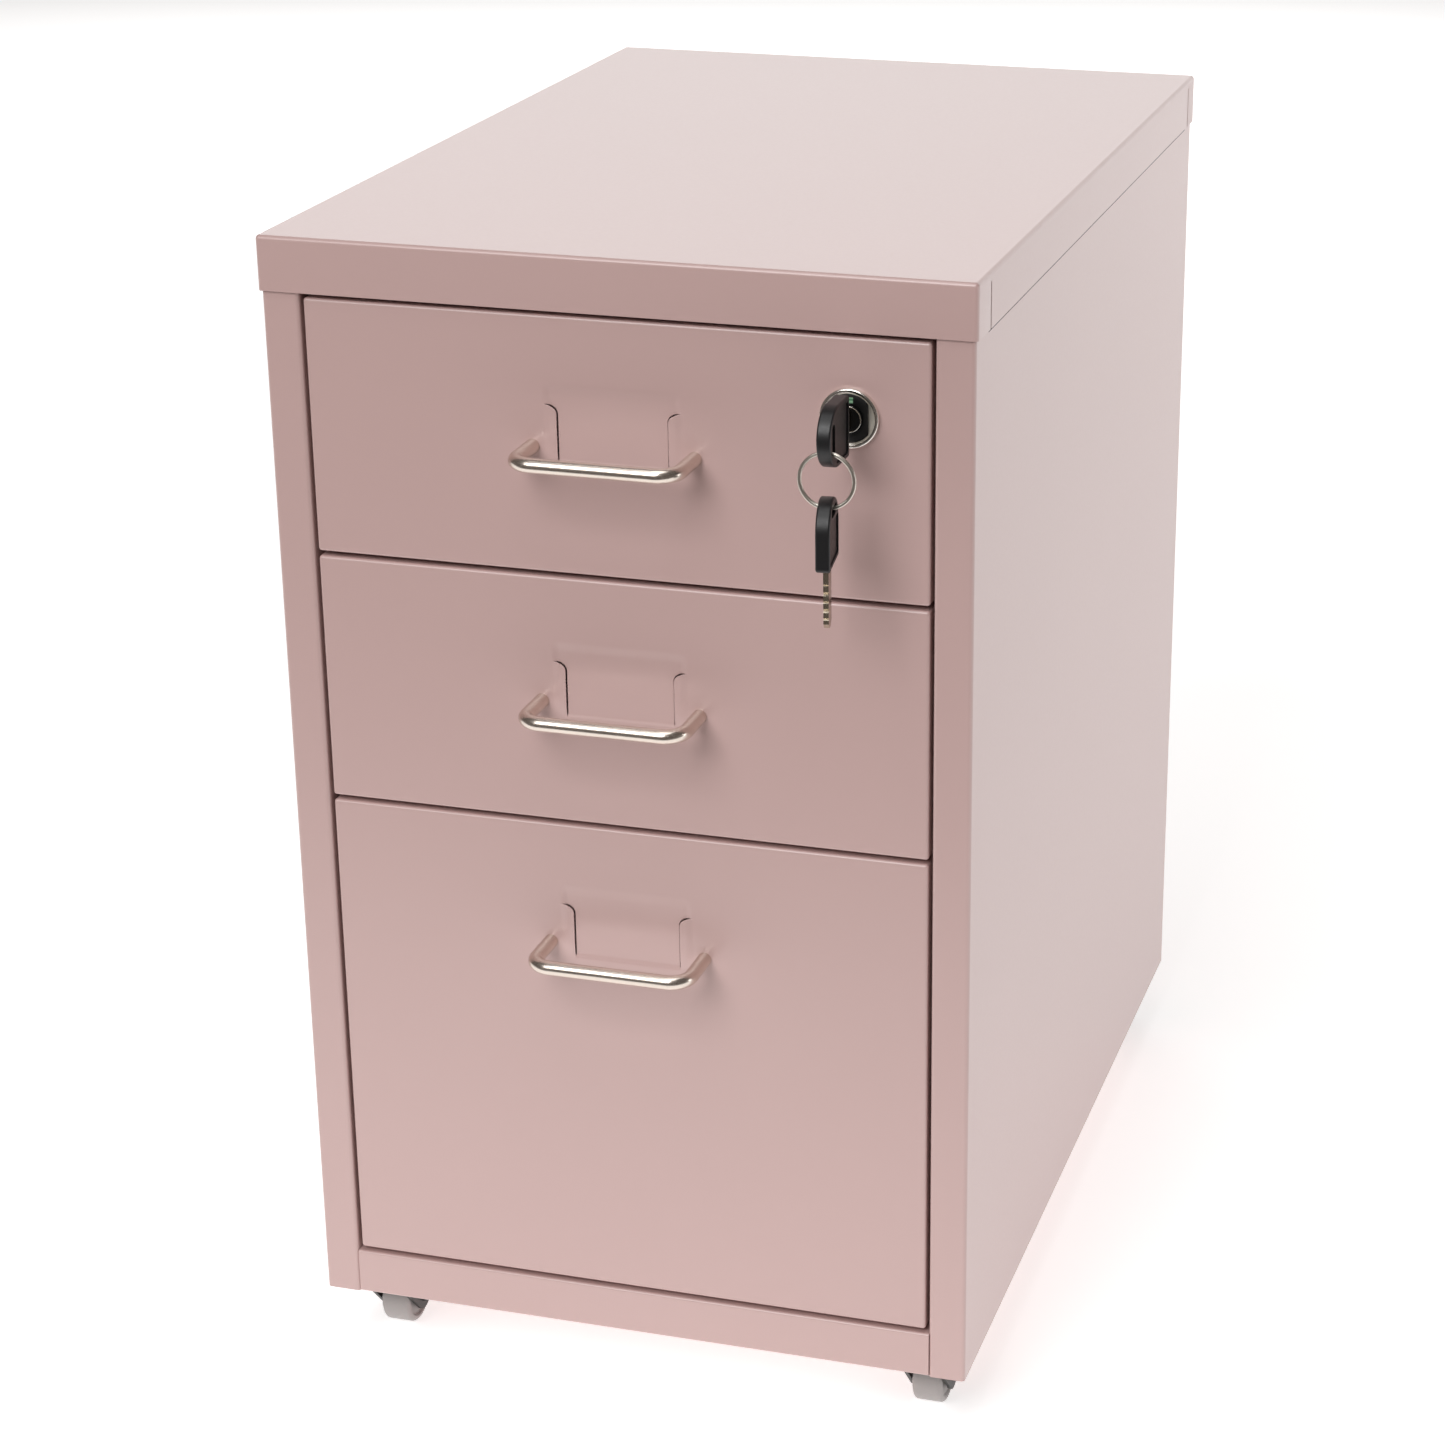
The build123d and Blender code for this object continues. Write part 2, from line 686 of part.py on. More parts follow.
# ---------------------------------------------------------------- casters
def caster_plate(x, y):
    """Square plate with a raised race under it, drilled for the kingpin and four screws."""
    plate = Pos(x, y) * RectangleRounded(plate_size, plate_size, plate_corner)
    plate = along_z(plate, floor_z - plate_sheet, floor_z)
    plate += round_bar(x, y, (crown_high + race_gap, floor_z - plate_sheet), race_radius)
    plate -= round_bar(x, y, (crown_low, floor_z + cut_past), kingpin_radius)
    for screw in caster_screws(x, y):
        plate -= screw
    return plate


def caster_screws(x, y):
    """Screws from inside the cabinet, through its floor, into the caster plate."""
    screws = []
    half = caster_screw_spacing / 2
    seat = floor_z + sheet
    for dx in (-half, half):
        for dy in (-half, half):
            span = (floor_z - plate_sheet, seat)
            shank = round_bar(x + dx, y + dy, span, caster_screw_radius)
            cap_span = (seat, seat + caster_screw_head_height)
            screws.append(shank + round_bar(x + dx, y + dy, cap_span, caster_screw_head))
    return screws


def caster_kingpin(x, y):
    """Rivet that the fork turns on, fixed in the plate."""
    seat = crown_low - race_gap
    head = round_bar(x, y, (seat - kingpin_head_height, seat), kingpin_head_radius)
    return head + round_bar(x, y, (seat, floor_z), kingpin_radius)


def caster_fork(x, y):
    """Pressed fork: a flat crown on the kingpin and two legs down to the axle."""
    crown = Pos(y + (fork_rear - fork_front) / 2, crown_high - fork_crown_side / 2)
    crown = crown * Rectangle(fork_front + fork_rear, fork_crown_side)
    foot = Pos(y + caster_trail, axle_z) * Circle(fork_foot_radius)
    side = make_hull(crown.edges() + foot.edges())
    fork = along_x(side, x - fork_outer, x + fork_outer)
    fork = fillet(fork.edges().filter_by(Axis.Y).group_by(Axis.Z)[-1], fork_round)
    legs_rear = max(fork_rear, caster_trail + fork_foot_radius)
    inside_y = (y - fork_front - cut_past, y + legs_rear + cut_past)
    fork -= block((x - fork_inner, x + fork_inner), inside_y, (0, crown_low))
    crown_span = (crown_low - cut_past, crown_high + cut_past)
    fork -= round_bar(x, y, crown_span, kingpin_radius + kingpin_gap)
    across = (x - fork_outer - cut_past, x + fork_outer + cut_past)
    return fork - round_bar(across, y + caster_trail, axle_z, axle_radius)


def caster_axle(x, y):
    """Rivet across the fork's legs."""
    pin = round_bar((x - fork_outer, x + fork_outer), y + caster_trail, axle_z, axle_radius)
    for side in (-1, 1):
        span = (x + side * fork_outer, x + side * (fork_outer + axle_head_height))
        head = round_bar((min(span), max(span)), y + caster_trail, axle_z, axle_head_radius)
        pin += head
    return pin


def caster_wheel(x, y):
    """Grey tread wheel with a small hub on each side."""
    y = y + caster_trail
    half = wheel_width / 2
    wheel = round_bar((x - half, x + half), y, axle_z, wheel_radius)
    wheel = fillet(wheel.edges(), wheel_round)
    hub_half = half + fork_hub_step
    wheel += round_bar((x - hub_half, x + hub_half), y, axle_z, wheel_hub_radius)
    across = (x - hub_half - cut_past, x + hub_half + cut_past)
    return wheel - round_bar(across, y, axle_z, axle_radius + axle_gap)


# ---------------------------------------------------------------- all the nodes
def main():
    os.makedirs("parts", exist_ok=True)
    save("top_panel", top_panel())
    right, left = both_sides(side_panel())
    save("side_panel_right", right)
    save("side_panel_left", left)
    save("back_panel", back_panel())
    save("bottom_panel", bottom_panel())
    save("top_front_rail", top_front_rail())
    save("back_panel_screws", *[one for screw in panel_screws() for one in both_sides(screw)])

    pads = []
    for number, (low, high) in drawer_spans.items():
        name = f"drawer_{number}"
        rim_z = high - tray_rim_drop
        right, left = both_sides(runner(rim_z))
        save(f"{name}_runner_right", right)
        save(f"{name}_runner_left", left)
        pads += both_sides(front_pad(rim_z))
        save(f"{name}_front", drawer_front(number))
        save(f"{name}_tray", drawer_tray(number))
        save(f"{name}_rear_wall", drawer_rear_wall(number))
        save(f"{name}_inner_wall", drawer_inner_wall(number))
        save(f"{name}_handle", drawer_handle(high))
        save(f"{name}_handle_screws", *handle_screws(high))
        save(f"{name}_glides", *drawer_glides(rim_z))
    save("runner_pads", *pads)

    save("lock_trim_ring", lock_trim_ring())
    save("lock_housing", lock_housing())
    save("lock_nut", lock_nut())
    save("lock_plug", lock_plug())
    save("lock_cam", lock_cam())
    save("lock_cam_screw", lock_cam_screw())
    save("key_head", in_lock(key_head()))
    save("key_blade", in_lock(key_blade()))
    save("key_ring", key_ring())
    save("spare_key_head", on_ring(key_head()))
    save("spare_key_blade", on_ring(key_blade()))

    for name, (x, y) in caster_places.items():
        save(f"caster_{name}_plate", caster_plate(x, y))
        save(f"caster_{name}_fork", caster_fork(x, y))
        save(f"caster_{name}_axle", caster_axle(x, y))
        save(f"caster_{name}_wheel", caster_wheel(x, y))
    save("caster_kingpins", *[caster_kingpin(x, y) for x, y in caster_places.values()])
    save("caster_screws", *[s for x, y in caster_places.values() for s in caster_screws(x, y)])


main()
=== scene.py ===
import math

import bmesh
import bpy
import numpy as np
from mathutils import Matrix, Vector


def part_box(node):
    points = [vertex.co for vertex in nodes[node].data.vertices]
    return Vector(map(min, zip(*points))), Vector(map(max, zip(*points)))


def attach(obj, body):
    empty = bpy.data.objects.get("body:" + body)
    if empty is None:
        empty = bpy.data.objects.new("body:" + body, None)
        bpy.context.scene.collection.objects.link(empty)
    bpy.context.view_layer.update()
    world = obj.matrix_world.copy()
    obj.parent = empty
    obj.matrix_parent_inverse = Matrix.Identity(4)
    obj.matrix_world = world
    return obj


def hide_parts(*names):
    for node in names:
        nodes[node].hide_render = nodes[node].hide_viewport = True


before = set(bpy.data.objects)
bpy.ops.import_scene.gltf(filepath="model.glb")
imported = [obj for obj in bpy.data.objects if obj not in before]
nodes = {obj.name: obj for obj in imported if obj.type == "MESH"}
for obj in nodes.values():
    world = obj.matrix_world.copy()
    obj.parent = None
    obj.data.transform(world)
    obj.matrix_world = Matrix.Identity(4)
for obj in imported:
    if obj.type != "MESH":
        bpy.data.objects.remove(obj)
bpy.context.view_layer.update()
scene = bpy.context.scene

# ------------------------------------------------------------------ studio
# A backlit white table with big soft lights in front and overhead, two behind that put the pale
# sheen on the top and its folds, and one at the right. The camera stands right of the front.


def linear(code):
    """Linear colour of an sRGB hex code: c/12.92 below 0.04045, else ((c+0.055)/1.055)^2.4."""
    c = np.array([int(code[i:i + 2], 16) for i in (0, 2, 4)]) / 255
    c = np.where(c < 0.04045, c / 12.92, ((c + 0.055) / 1.055) ** 2.4)
    return (*c.tolist(), 1.0)


def add(material, kind, sockets=None, **settings):
    """Adds one shader node. A socket's value is a constant, or another node's output to link."""
    tree = material.node_tree
    made = tree.nodes.new("ShaderNode" + kind)
    for name, value in settings.items():
        setattr(made, name, value)
    for name, value in (sockets or {}).items():
        if isinstance(value, bpy.types.NodeSocket):
            tree.links.new(value, made.inputs[name])
        else:
            made.inputs[name].default_value = value
    return made


def surface(name):
    """New material with its Principled shader, and coordinates in metres on the object."""
    material = bpy.data.materials.new(name)
    material.use_nodes = True
    shader = material.node_tree.nodes["Principled BSDF"]
    coords = add(material, "TexCoord").outputs["Object"]
    return material, shader, coords


def set_shader(material, shader, sockets):
    """Sets or links the Principled shader's sockets."""
    for name, value in sockets.items():
        if isinstance(value, bpy.types.NodeSocket):
            material.node_tree.links.new(value, shader.inputs[name])
        else:
            shader.inputs[name].default_value = value


def aim(obj, place, target):
    """Puts obj at place with its -Z towards target and its Y upwards."""
    obj.location = place
    obj.rotation_euler = (Vector(target) - Vector(place)).to_track_quat("-Z", "Y").to_euler()


def soft_light(name, place, target, size, power):
    """White square area light of that side in metres and power in watts."""
    data = bpy.data.lights.new(name, "AREA")
    data.shape = "SQUARE"
    data.size = size
    data.energy = power
    obj = bpy.data.objects.new(name, data)
    scene.collection.objects.link(obj)
    aim(obj, place, target)


camera_place = Vector((0.4192, -1.3242, 0.7724))
camera_line = Vector((-0.2511, 0.8971, -0.3634))
camera = bpy.data.objects.new("camera", bpy.data.cameras.new("camera"))
camera.data.sensor_width = 36.0
camera.data.lens = 84.11
camera.data.shift_x = -0.104
scene.collection.objects.link(camera)
aim(camera, camera_place, camera_place + camera_line)
scene.camera = camera
scene.view_settings.view_transform = "Standard"

world = bpy.data.worlds.new("studio")
world.use_nodes = True
world.node_tree.nodes["Background"].inputs["Color"].default_value = linear("e8dcd4")
world.node_tree.nodes["Background"].inputs["Strength"].default_value = 0.16
scene.world = world

soft_light("front_softbox", (-0.5, -2.3, 2.0), (0, 0, 0.3), 1.5, 47)
soft_light("overhead_softbox", (0, -0.7, 2.4), (0, -0.2, 0.4), 1.3, 12)
soft_light("rear_softbox", (-0.9, 2.8, 1.6), (0, 0, 0.4), 2.4, 25)
soft_light("rear_right_softbox", (1.05, 2.7, 0.95), (0, 0, 0.4), 1.7, 12)
soft_light("right_softbox", (2.2, 0.2, 0.5), (0, 0, 0.25), 0.8, 6)

floor_mesh = bpy.data.meshes.new("floor")
floor_x, floor_front, floor_rear = 5.0, -0.69, 7.0
floor_mesh.from_pydata([(-floor_x, floor_front, 0), (floor_x, floor_front, 0),
                        (floor_x, floor_rear, 0), (-floor_x, floor_rear, 0)], [], [(0, 1, 2, 3)])
floor = bpy.data.objects.new("floor", floor_mesh)
scene.collection.objects.link(floor)
paper, paper_shader, _ = surface("backlit_white_table")
set_shader(paper, paper_shader, {"Base Color": linear("f4f4f4"), "Roughness": 0.9,
                                 "Specular IOR Level": 0.0, "Emission Color": linear("ffffff"),
                                 "Emission Strength": 0.56})
floor_mesh.materials.append(paper)

# ------------------------------------------------------------------ shell
# Sides, back, floor and front rails in 0.8 mm steel sheet, folded, spot-welded and powder-coated
# in one dusty pink. They keep their CAD form; the coat's fine orange peel is in the material.


def powder_coat(name, code):
    """Satin powder coat: the peel is a bump of noise about 1.6 mm across, 6 micrometres deep."""
    material, shader, coords = surface(name)
    peel = add(material, "TexNoise", {"Vector": coords, "Scale": 620.0, "Detail": 2.0})
    bump = add(material, "Bump", {"Height": peel.outputs["Fac"], "Strength": 0.25,
                                  "Distance": 0.000025})
    cloud = add(material, "TexNoise", {"Vector": coords, "Scale": 9.0, "Detail": 3.0})
    shade = add(material, "MapRange", {"Value": cloud.outputs["Fac"], "To Min": 0.985,
                                       "To Max": 1.015})
    tint = add(material, "Mix", {"Factor": 1.0, "A": linear(code), "B": shade.outputs["Result"]},
               data_type="RGBA", blend_type="MULTIPLY")
    sheen = add(material, "MapRange", {"Value": peel.outputs["Fac"], "To Min": 0.33,
                                       "To Max": 0.43})
    set_shader(material, shader, {"Base Color": tint.outputs["Result"],
                                  "Roughness": sheen.outputs["Result"], "IOR": 1.6,
                                  "Coat Weight": 0.6, "Coat Roughness": 0.3,
                                  "Normal": bump.outputs["Normal"]})
    return material


def dress(names, material):
    """Gives CAD nodes their material."""
    for name in names:
        mesh = nodes[name].data
        mesh.materials.clear()
        mesh.materials.append(material)


coated_steel = powder_coat("powder_coated_steel", "c6a7a3")
dress(["side_panel_left", "side_panel_right", "back_panel", "bottom_panel", "top_front_rail"],
      coated_steel)

# ------------------------------------------------------------------ top panel
# The lid is one folded sheet: its rim hangs over the shell, wraps round each corner and ends at a
# seam on the side. Corners and folds are pressed to one radius and coated like the shell.


def grid_faces(rows, columns, closed=False):
    """Quads of a rows-by-columns grid of points numbered row by row; closed joins the columns."""
    r = np.arange(rows - 1)[:, None]
    c = np.arange(columns if closed else columns - 1)[None, :]
    after = (c + 1) % columns
    near, far = r * columns, (r + 1) * columns
    corners = [near + c, near + after, far + after, far + c]
    return np.stack(corners, axis=-1).reshape(-1, 4)


def make(name, points, faces, material, body, replaces=(), sharp=32.0, thick=0.0):
    """Mesh piece from points in metres, welded, with its normals outwards; thick solidifies it."""
    mesh = bpy.data.meshes.new(name)
    places = np.asarray(points, float).reshape(-1, 3)
    mesh.from_pydata(places.tolist(), [], np.asarray(faces).tolist())
    work = bmesh.new()
    work.from_mesh(mesh)
    bmesh.ops.remove_doubles(work, verts=work.verts, dist=2e-6)
    loose = [v for v in work.verts if not v.link_faces]
    bmesh.ops.delete(work, geom=loose, context="VERTS")
    bmesh.ops.recalc_face_normals(work, faces=work.faces)
    work.to_mesh(mesh)
    work.free()
    mesh.shade_smooth()
    mesh.set_sharp_from_angle(angle=math.radians(sharp))
    mesh.materials.append(material)
    obj = bpy.data.objects.new(name, mesh)
    scene.collection.objects.link(obj)
    if thick:
        wall = obj.modifiers.new("sheet", "SOLIDIFY")
        wall.thickness = thick
        wall.offset = -1.0
        even = obj.modifiers.new("normals", "WEIGHTED_NORMAL")
        even.keep_sharp = True
    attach(obj, body)
    if replaces:
        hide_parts(*replaces)
    return obj


def between(*marks):
    """Ascending lines through the marks (place, step): each span is cut to about its step."""
    spans = [np.linspace(a, b, max(1, round((b - a) / step)) + 1)[:-1]
             for (a, step), (b, _) in zip(marks, marks[1:])]
    return np.concatenate([*spans, [marks[-1][0]]])


def border(low, high, extra=((), ()), corner_steps=10):
    """Loop round a flat rectangle with its outward normals: corners repeat as the normal turns.

    low and high are the rectangle's corners, extra more places along its x and y sides.
    """
    xs = np.unique([low[0], high[0], *extra[0]])
    ys = np.unique([low[1], high[1], *extra[1]])
    sides = [(np.c_[xs, np.full(len(xs), low[1])], -90), (np.c_[np.full(len(ys), high[0]), ys], 0),
             (np.c_[xs[::-1], np.full(len(xs), high[1])], 90),
             (np.c_[np.full(len(ys), low[0]), ys[::-1]], 180)]
    points, angles = [], []
    for line, facing in sides:
        turn = np.linspace(facing, facing + 90, corner_steps + 1)[1:-1]
        points += [line, np.repeat(line[-1:], len(turn), axis=0)]
        angles += [np.full(len(line), facing), turn]
    angles = np.radians(np.concatenate(angles))
    return np.concatenate(points), np.c_[np.cos(angles), np.sin(angles)]


def fold_profile(radius, depth, marks=(), steps=8):
    """Fold from the flat face: out = r sin t, back = r (1 - cos t), then straight back to depth."""
    t = np.linspace(0, math.pi / 2, steps + 1)
    straight = np.array([m for m in marks if m > radius] + [depth])
    out = np.concatenate([radius * np.sin(t), np.full(len(straight), radius)])
    back = np.concatenate([radius * (1 - np.cos(t)), straight])
    return out, back


sheet = 0.0008
low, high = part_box("top_panel")
lid_fold = 0.0016
rim_tab, rear_tab = 0.0185, 0.014          # how far the rim wraps onto the side
rim_seam, rear_seam = 0.0012, 0.0016       # width of the two seams
seam_stop = 0.0035                         # both stop this far below the top face
seam_places = [low.y + rim_tab, low.y + rim_tab + rim_seam, high.y - rear_tab - rear_seam,
               high.y - rear_tab]
loop, normals = border((low.x + lid_fold, low.y + lid_fold), (high.x - lid_fold, high.y - lid_fold),
                       ((), seam_places))
out, back = fold_profile(lid_fold, high.z - low.z, (seam_stop,))
rim_xy = loop[None] + out[:, None, None] * normals[None]
rim_z = np.broadcast_to((high.z - back)[:, None, None], (len(out), len(loop), 1))
lid = np.concatenate([rim_xy, rim_z], axis=2)
faces = grid_faces(len(out), len(loop), closed=True)
centre = lid.reshape(-1, 3)[faces].mean(axis=1)
in_seam = np.zeros(len(faces), bool)
for start, end in (seam_places[:2], seam_places[2:]):
    in_seam |= (centre[:, 1] > start) & (centre[:, 1] < end)
faces = faces[~(in_seam & (centre[:, 2] < high.z - seam_stop))]
cap_x = np.array([low.x + lid_fold, high.x - lid_fold])
side_y = np.array([low.y + lid_fold, *seam_places, high.y - lid_fold])
cap = np.stack(np.broadcast_arrays(cap_x[None, :], side_y[:, None], high.z), axis=-1)
cap_faces = grid_faces(len(side_y), 2) + lid.size // 3
lid_points = np.concatenate([lid.reshape(-1, 3), cap.reshape(-1, 3)])
make("lid", lid_points, np.concatenate([faces, cap_faces]), coated_steel, "cabinet",
     ["top_panel"], thick=sheet)

# ------------------------------------------------------------------ rim shadow lines
# Painted shade under the rim on each side, between lid and shell: a strip 1.4 mm high in a
# dark matte colour standing in for the shadow in the gap, a thin line from front seam to rear.


def moulded(name, code, roughness, grain=900.0, depth=0.00001):
    """Moulded plastic: a fine grain of noise about 1 mm across over a plain colour."""
    material, shader, coords = surface(name)
    noise = add(material, "TexNoise", {"Vector": coords, "Scale": grain, "Detail": 2.0})
    bump = add(material, "Bump", {"Height": noise.outputs["Fac"], "Strength": 0.4,
                                  "Distance": depth})
    rough = add(material, "MapRange", {"Value": noise.outputs["Fac"], "To Min": roughness - 0.05,
                                       "To Max": roughness + 0.05})
    set_shader(material, shader, {"Base Color": linear(code), "Roughness": rough.outputs["Result"],
                                  "Normal": bump.outputs["Normal"]})
    return material


# Painted shade: the dark matte colour of the strips that stand in for the shadow under the rim.
painted_shade = moulded("painted_shadow_line", "33262a", 0.7)
shadow_line_tall, shadow_line_lift = 0.0014, 0.00005
side_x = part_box("side_panel_right")[1].x
for name, side in (("shadow_line_right", 1), ("shadow_line_left", -1)):
    strip_y, strip_z = np.meshgrid([seam_places[1], seam_places[2]], [low.z - shadow_line_tall, low.z])
    strip_x = np.full((2, 2), side * side_x + side * shadow_line_lift)
    strip = np.stack([strip_x, strip_y, strip_z], axis=-1)
    make(name, strip, grid_faces(2, 2), painted_shade, "cabinet", thick=shadow_line_lift)

# ------------------------------------------------------------------ drawer fronts
# Folded and coated fronts. Above each handle a label field is pressed in half a millimetre; two
# slits with curved tops lift the sheet beside it so that a card slides in behind.
front_fold = 0.0013
press, lift = 0.0005, 0.00035               # field pressed in, and the strips beside it lifted
field_half, field_top, field_foot = 0.0265, 0.0275, 0.0565
slit_x, slit_knee, hook_top = 0.0218, 0.0378, 0.0342
slit_half = 0.00025
lock_x, lock_drop = 0.092, 0.030
lock_hole, lock_hole_flat = 0.0093, 0.0071


def smooth(low, high, v):
    """Smoothstep 3t^2 - 2t^3 of v from low to high."""
    t = np.clip((v - low) / (high - low), 0, 1)
    return t * t * (3 - 2 * t)


def slit_line():
    """Middle of a slit as (x, drop): straight up, then a quarter ellipse outwards."""
    drop = np.linspace(field_foot - 0.001, slit_knee, 60)
    turn = np.linspace(0, math.pi / 2, 40)
    wide, tall = field_half - slit_x, slit_knee - hook_top
    curve = np.c_[field_half - wide * np.cos(turn), slit_knee - tall * np.sin(turn)]
    return np.concatenate([np.c_[np.full(60, slit_x), drop], curve])


def to_slit(x, drop):
    """Distance to a slit's edge, and the nearest point on its middle line."""
    line = slit_line()
    gap = np.stack([np.abs(x)[..., None] - line[:, 0], drop[..., None] - line[:, 1]], axis=-1)
    reach = np.linalg.norm(gap, axis=-1)
    near = line[reach.argmin(axis=-1)]
    taper = 0.55 + 0.45 * smooth(0.0, 0.0022, field_half - near[..., 0])
    return reach.min(axis=-1) - slit_half * taper, near


def pressed(x, drop):
    """How far the sheet stands back at (x, drop): the field minus the lifted strips."""
    wide, tall = field_half - slit_x, slit_knee - hook_top
    share = np.clip((field_half - np.abs(x)) / wide, 0, 1)
    hook = slit_knee - tall * np.sqrt(1 - share**2)
    beside = (np.abs(x) > slit_x) & (drop > hook)
    across = 1 - smooth(field_half - 0.0022, field_half + 0.0012, np.abs(x))
    field = press * across * smooth(field_top - 0.0020, field_top + 0.0030, drop)
    field = field * (1 - smooth(field_foot - 0.0015, field_foot + 0.0005, drop))
    strip = -lift * (1 - smooth(field_half - 0.0022, field_half + 0.0012, np.abs(x)))
    strip = strip * (1 - smooth(field_foot - 0.006, field_foot, drop))
    return np.where(beside, strip, field)


for number in (1, 2, 3):
    name = f"drawer_{number}_front"
    low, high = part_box(name)
    face = low.y
    x_edge = high.x - front_fold
    fine = 0.00025
    right = [(0.0206, fine), (0.0213, 0.0001), (0.0224, 0.0002), (0.0282, 0.004)]
    if number == 1:
        right += [(lock_x - 0.0105, 0.0004), (lock_x + 0.0105, 0.004)]
    left = [(-0.0282, 0.0002), (-0.0224, 0.0001), (-0.0213, fine), (-0.0206, 0.0014)]
    xs = between((-x_edge, 0.006), *left, *right, (x_edge, 1))
    rows = [(0.0250, 0.0005), (0.0310, 0.0006), (0.0337, 0.0001), (0.0352, fine), (0.0388, 0.0005),
            (0.0585, 0.008)]
    rows = [(front_fold, 0.0025), *([(0.0195, 0.0005)] if number == 1 else []), *rows]
    drops = between(*rows, (high.z - low.z - front_fold, 1))
    x, drop = np.meshgrid(xs, drops)
    gap, near = to_slit(x, drop)
    pull = (np.abs(gap) < 0.00007) & (np.abs(x) < field_half + 0.0005)
    away = np.stack([np.abs(x) - near[..., 0], drop - near[..., 1]], axis=-1)
    away = away / np.maximum(np.linalg.norm(away, axis=-1, keepdims=True), 1e-9)
    x = np.where(pull, x - np.sign(x) * gap * away[..., 0], x)
    drop = np.where(pull, drop - gap * away[..., 1], drop)
    if number == 1:
        lx, lz = x - lock_x, drop - lock_drop
        reach = np.hypot(lx, lz)
        edge = np.minimum(lock_hole, lock_hole_flat * reach / np.maximum(np.abs(lx), 1e-9))
        on_edge = np.abs(reach - edge) < 0.00026
        x = np.where(on_edge, lock_x + lx * edge / np.maximum(reach, 1e-9), x)
        drop = np.where(on_edge, lock_drop + lz * edge / np.maximum(reach, 1e-9), drop)
    points = np.stack([x, face + pressed(x, drop), high.z - drop], axis=-1)
    faces = grid_faces(*x.shape)
    middle = points.reshape(-1, 3)[faces].mean(axis=1)
    middle_drop = high.z - middle[:, 2]
    hole = to_slit(middle[:, 0], middle_drop)[0] < 0
    if number == 1:
        lx, lz = middle[:, 0] - lock_x, middle_drop - lock_drop
        hole |= (np.hypot(lx, lz) < lock_hole) & (np.abs(lx) < lock_hole_flat)
    faces = faces[~hole]
    loop, normals = border((-x_edge, low.z + front_fold), (x_edge, high.z - front_fold),
                           (xs, high.z - drops), 8)
    out, back = fold_profile(front_fold, high.y - low.y)
    flat = loop[None] + out[:, None, None] * normals[None]
    depth = np.broadcast_to((face + back)[:, None], flat.shape[:2])
    edge_points = np.stack([flat[..., 0], depth, flat[..., 1]], axis=-1)
    edge_faces = grid_faces(len(out), len(loop), closed=True) + points.size // 3
    all_points = np.concatenate([points.reshape(-1, 3), edge_points.reshape(-1, 3)])
    make(f"drawer_{number}_face", all_points, np.concatenate([faces, edge_faces]), coated_steel,
         f"drawer_{number}", [name], thick=sheet)

# ------------------------------------------------------------------ trays and runners
# Each tray is folded from coated sheet, with flat walls welded in at front and rear. Its rims run
# in zinc-plated channels on nylon pads, with a nylon glide clipped on each rim.


def zinc_plate(name, code="b9bcbf", roughness=0.34):
    """Bright zinc on rolled steel: faint streaks along Y, about 0.4 mm wide and 12 mm long."""
    material, shader, coords = surface(name)
    along = add(material, "Mapping", {"Vector": coords, "Scale": (2400.0, 80.0, 2400.0)})
    streak = add(material, "TexNoise", {"Vector": along.outputs["Vector"], "Scale": 1.0,
                                        "Detail": 3.0})
    rough = add(material, "MapRange", {"Value": streak.outputs["Fac"], "To Min": roughness - 0.06,
                                       "To Max": roughness + 0.08})
    set_shader(material, shader, {"Base Color": linear(code), "Metallic": 1.0,
                                  "Roughness": rough.outputs["Result"]})
    return material


zinc_steel = zinc_plate("zinc_plated_steel")
nylon = moulded("natural_nylon", "e2dfd6", 0.45)
for number in (1, 2, 3):
    drawer = f"drawer_{number}"
    dress([f"{drawer}_tray", f"{drawer}_rear_wall", f"{drawer}_inner_wall"], coated_steel)
    dress([f"{drawer}_runner_left", f"{drawer}_runner_right"], zinc_steel)
    dress([f"{drawer}_handle_screws"], zinc_steel)
    dress([f"{drawer}_glides"], nylon)
dress(["runner_pads"], nylon)
dress(["back_panel_screws"], zinc_steel)

# ------------------------------------------------------------------ handles
# A bow of 5.8 mm round steel rod, bent at both corners, satin nickel plated with a warm tone and
# screwed on from inside the drawer front.


def satin_nickel(name, code, roughness):
    """Satin nickel: fine polishing lines along X, 0.15 mm wide and 20 mm long."""
    material, shader, coords = surface(name)
    along = add(material, "Mapping", {"Vector": coords, "Scale": (50.0, 6500.0, 6500.0)})
    line = add(material, "TexNoise", {"Vector": along.outputs["Vector"], "Scale": 1.0,
                                      "Detail": 2.0})
    rough = add(material, "MapRange", {"Value": line.outputs["Fac"], "To Min": roughness - 0.05,
                                       "To Max": roughness + 0.06})
    bump = add(material, "Bump", {"Height": line.outputs["Fac"], "Strength": 0.15,
                                  "Distance": 0.00001})
    set_shader(material, shader, {"Base Color": linear(code), "Metallic": 1.0,
                                  "Roughness": rough.outputs["Result"],
                                  "Normal": bump.outputs["Normal"]})
    return material


def tube(path, side, radii, around=40):
    """Section swept along a path.

    Point = path + radii_0 cos a side + radii_1 sin a (tangent x side).
    path and side are arrays of n points and unit vectors; the section is an ellipse.
    """
    tangent = np.gradient(path, axis=0)
    tangent /= np.linalg.norm(tangent, axis=1, keepdims=True)
    other = np.cross(tangent, side)
    a = np.linspace(0, 2 * math.pi, around, endpoint=False)
    ring = radii[0] * np.cos(a)[None, :, None] * side[:, None]
    ring = ring + radii[1] * np.sin(a)[None, :, None] * other[:, None]
    return path[:, None] + ring


def capped(points):
    """A tube's points with a middle point at each end, and the faces of tube and caps."""
    rows, around = points.shape[:2]
    ends = [np.repeat(end.mean(axis=1, keepdims=True), around, axis=1)
            for end in (points[:1], points[-1:])]
    flat = np.concatenate([ends[0], points, ends[1]])
    return flat, grid_faces(rows + 2, around, closed=True)


